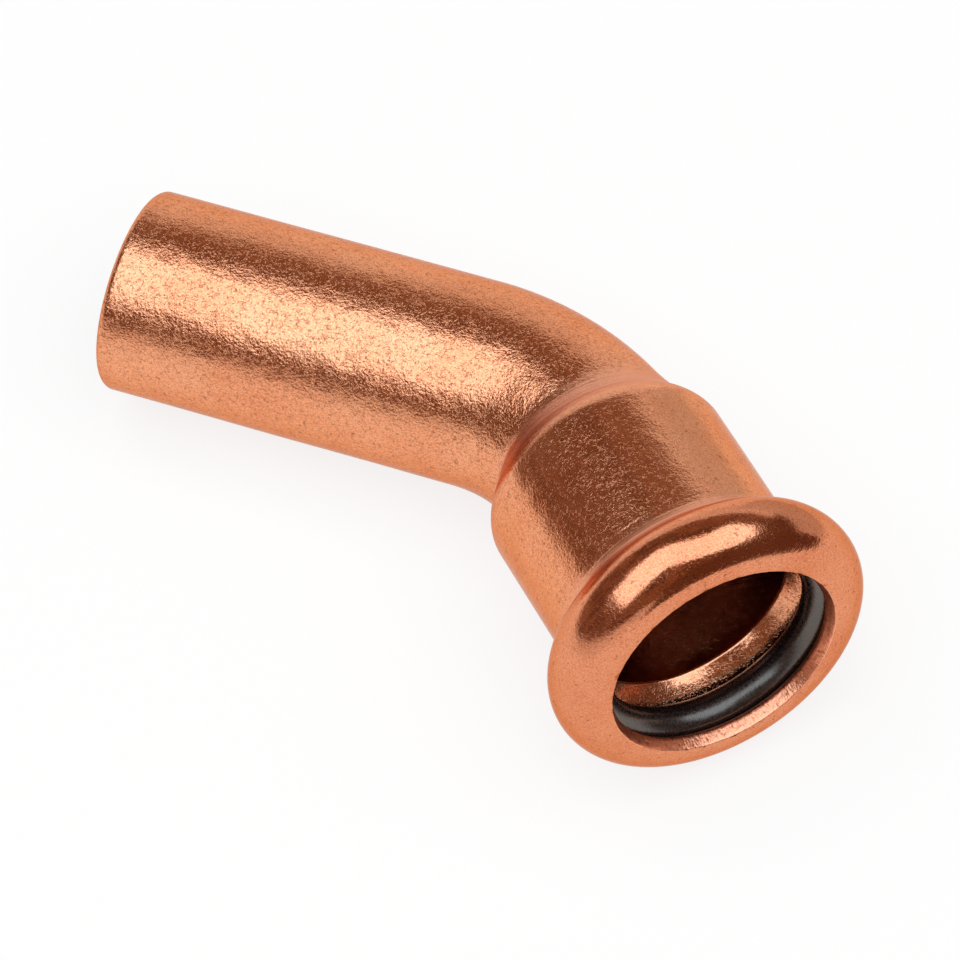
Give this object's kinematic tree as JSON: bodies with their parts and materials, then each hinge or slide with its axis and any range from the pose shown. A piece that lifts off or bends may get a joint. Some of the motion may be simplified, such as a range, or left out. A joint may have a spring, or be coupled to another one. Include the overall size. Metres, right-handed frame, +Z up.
{
  "type": "press fit fitting",
  "caption": "Copper press-fit street elbow: plain spigot, 45 degree bend and a press socket whose round bead holds a black rubber sealing ring.",
  "frame": {"origin": "on the spigot's axis, where its straight run meets the bend", "axes": "the spigot runs along -X from the origin and the socket leaves towards +X and -Y; +Z is up as the fitting lies at rest, on the spigot's side and on the rim of the bead"},
  "size_m": [0.0584, 0.0329, 0.0234],
  "materials": {
    "copper": "bare copper, drawn and pickled, satin",
    "seal_rubber": "black EPDM rubber, moulded, slightly glossy"
  },
  "bodies": {
    "root": {"elbow_body": "copper", "o_ring": "seal_rubber"}
  },
  "joints": []
}
